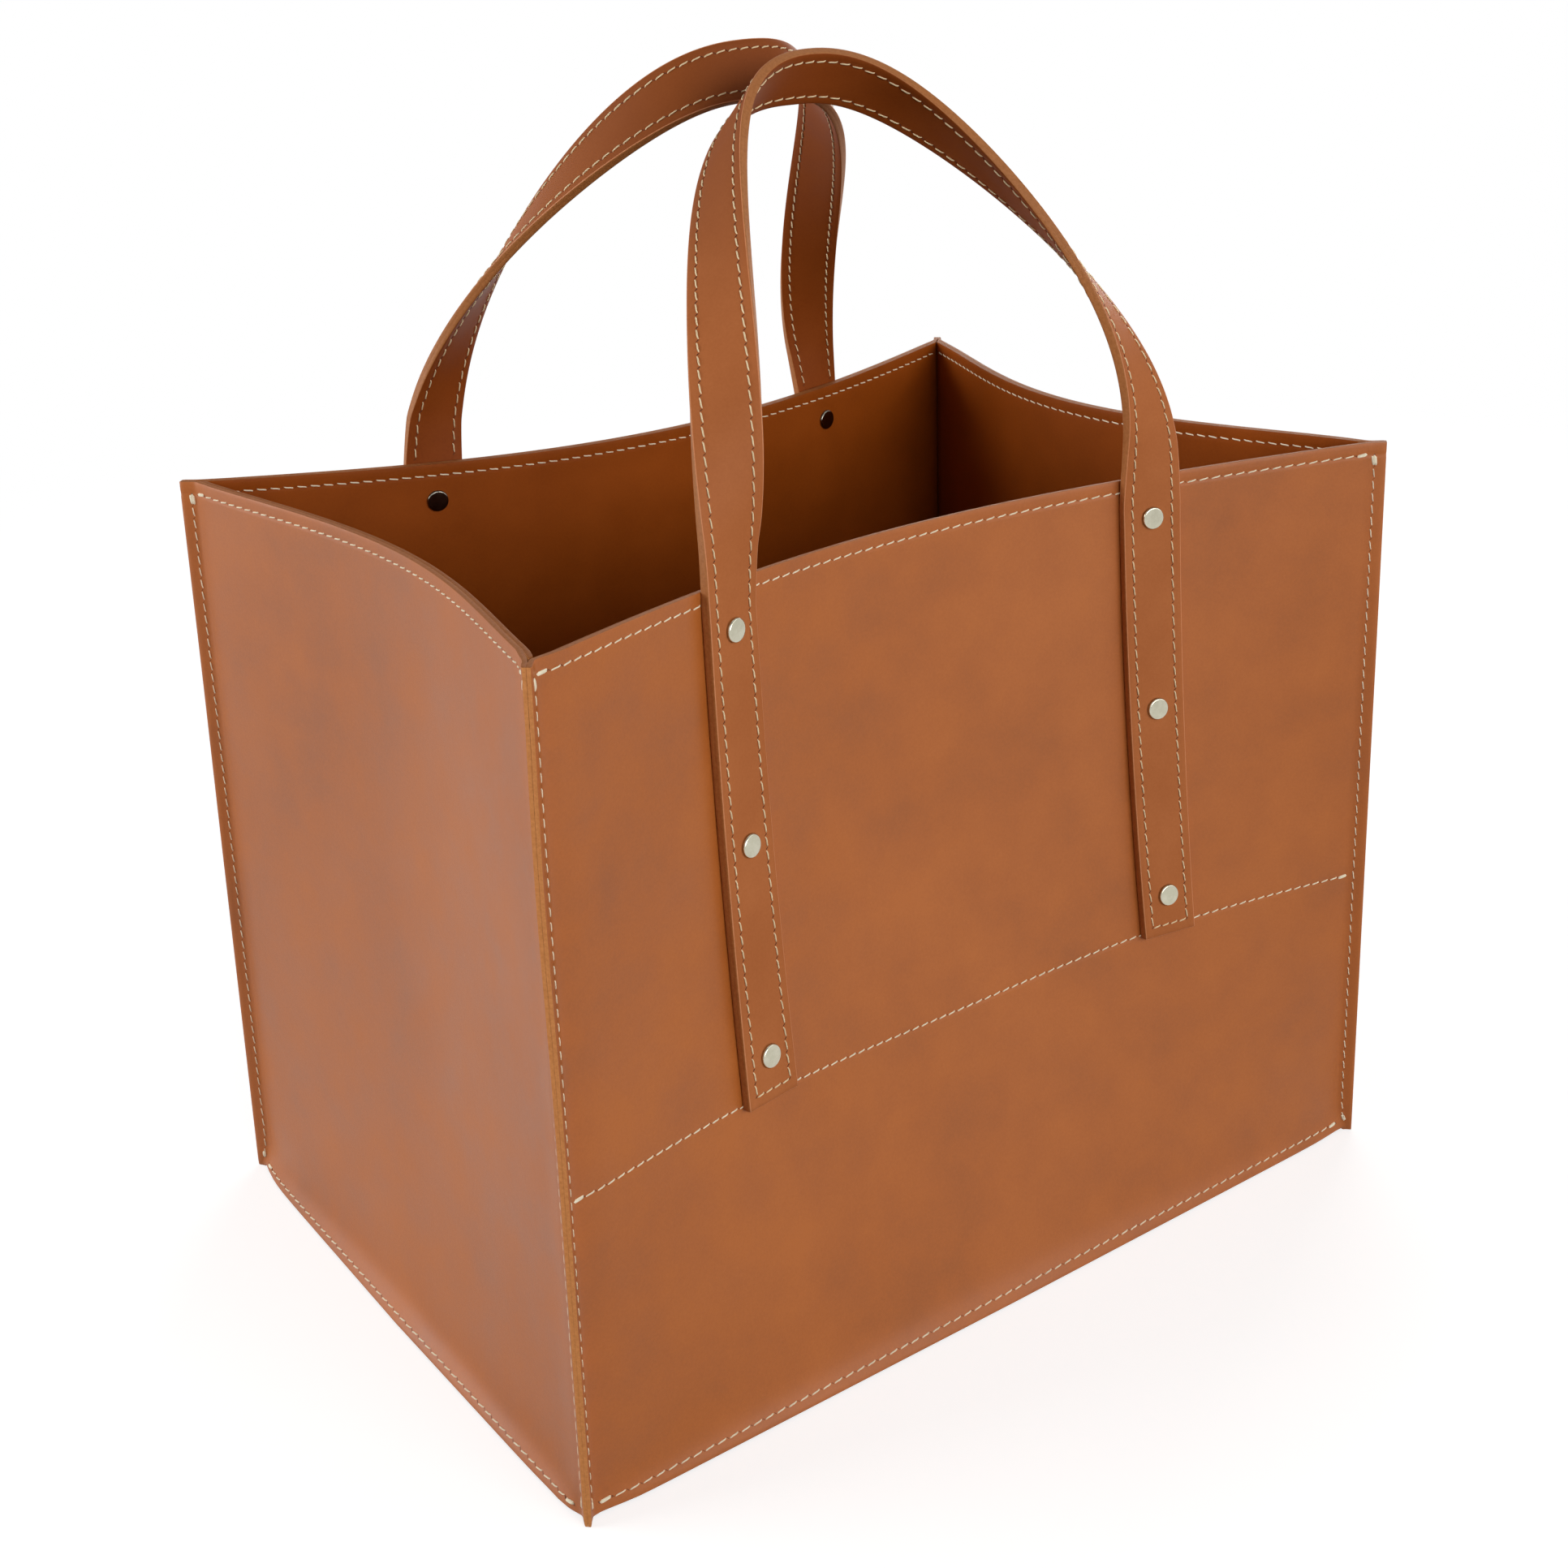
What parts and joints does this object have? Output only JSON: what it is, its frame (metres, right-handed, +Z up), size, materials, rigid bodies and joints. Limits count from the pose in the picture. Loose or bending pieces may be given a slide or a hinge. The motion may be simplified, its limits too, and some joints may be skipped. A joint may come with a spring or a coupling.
{
  "type": "log holder",
  "caption": "Open rectangular log holder in stitched leather, with raised corner flanges and riveted strap handles that swing outwards.",
  "frame": {"origin": "middle of the base underside, on the floor", "axes": "+X along the long walls, -Y out of the front wall that the picture shows, +Z up"},
  "size_m": [0.4426, 0.3146, 0.5342],
  "materials": {
    "outer_leather": "satin, cognac tan",
    "strap_leather": "satin, cognac tan",
    "lining_leather": "matt, dark brown",
    "fibreboard": "raw board",
    "nickel": "polished"
  },
  "bodies": {
    "bag": {"base_panel": "outer_leather", "base_board": "fibreboard", "base_sling": "lining_leather", "outer_front_panel": "outer_leather", "lining_front": "lining_leather", "outer_right_panel": "outer_leather", "lining_right": "lining_leather", "outer_back_panel": "outer_leather", "lining_back": "lining_leather", "outer_left_panel": "outer_leather", "lining_left": "lining_leather", "front_left_tail_inner": "strap_leather", "front_left_tail_outer": "strap_leather", "front_left_rivet_1_cap": "nickel", "front_left_rivet_1_back": "nickel", "front_left_rivet_2_cap": "nickel", "front_left_rivet_2_back": "nickel", "front_left_rivet_3_cap": "nickel", "front_left_rivet_3_back": "nickel", "front_right_tail_inner": "strap_leather", "front_right_tail_outer": "strap_leather", "front_right_rivet_1_cap": "nickel", "front_right_rivet_1_back": "nickel", "front_right_rivet_2_cap": "nickel", "front_right_rivet_2_back": "nickel", "front_right_rivet_3_cap": "nickel", "front_right_rivet_3_back": "nickel", "back_left_tail_inner": "strap_leather", "back_left_tail_outer": "strap_leather", "back_left_rivet_1_cap": "nickel", "back_left_rivet_1_back": "nickel", "back_left_rivet_2_cap": "nickel", "back_left_rivet_2_back": "nickel", "back_left_rivet_3_cap": "nickel", "back_left_rivet_3_back": "nickel", "back_right_tail_inner": "strap_leather", "back_right_tail_outer": "strap_leather", "back_right_rivet_1_cap": "nickel", "back_right_rivet_1_back": "nickel", "back_right_rivet_2_cap": "nickel", "back_right_rivet_2_back": "nickel", "back_right_rivet_3_cap": "nickel", "back_right_rivet_3_back": "nickel"},
    "front_handle": {"front_strap_inner_loop": "strap_leather", "front_strap_outer_loop": "strap_leather"},
    "back_handle": {"back_strap_inner_loop": "strap_leather", "back_strap_outer_loop": "strap_leather"}
  },
  "joints": [
    {"name": "front_handle_swing", "type": "hinge", "parent": "bag", "child": "front_handle", "pos_m": [0, -0.1227, 0.34597], "axis": [1, 0, 0], "range_deg": [0, 150]},
    {"name": "back_handle_swing", "type": "hinge", "parent": "bag", "child": "back_handle", "pos_m": [0, 0.1301, 0.34597], "axis": [-1, 0, 0], "range_deg": [0, 150]}
  ]
}
